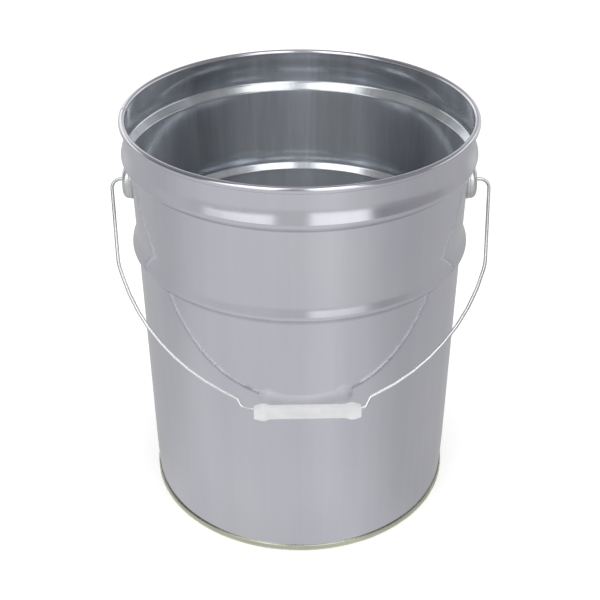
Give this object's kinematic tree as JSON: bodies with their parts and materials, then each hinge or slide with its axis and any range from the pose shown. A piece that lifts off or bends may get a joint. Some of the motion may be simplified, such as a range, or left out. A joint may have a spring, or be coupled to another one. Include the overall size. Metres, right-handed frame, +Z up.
{
  "type": "open-top tinplate pail",
  "caption": "Open-top round tinplate paint pail with rolled rim, two stiffening beads, double-seamed bottom, side ears and a swinging wire bail with a plastic grip.",
  "frame": {"origin": "centre of the pail's base, on the surface that it stands on", "axes": "+Z up along the pail's axis, +X through the right ear, -Y towards the side where the bail rests"},
  "size_m": [0.3272, 0.3047, 0.365],
  "materials": {
    "tinplate": "bright satin tinplate",
    "lacquered_tinplate": "thin gold lacquer over tinplate",
    "sealing_compound": "matt",
    "ear_steel": "satin",
    "bail_steel": "bright drawn wire",
    "grip_plastic": "smooth moulded white"
  },
  "bodies": {
    "pail": {"body_shell": "tinplate", "bottom_end": "lacquered_tinplate", "seam_compound": "sealing_compound", "left_ear": "ear_steel", "right_ear": "ear_steel"},
    "bail": {"bail_wire": "bail_steel"},
    "grip_sleeve": {"grip": "grip_plastic"}
  },
  "joints": [
    {"name": "bail_swing", "type": "hinge", "parent": "pail", "child": "bail", "pos_m": [0, 0, 0.301], "axis": [-1, 0, 0], "range_deg": [0, 265.5]},
    {"name": "grip_spin", "type": "hinge", "parent": "bail", "child": "grip_sleeve", "pos_m": [0.0065, -0.14694, 0.16204], "axis": [0.9999, 0.0118, 0.011], "continuous": true}
  ]
}
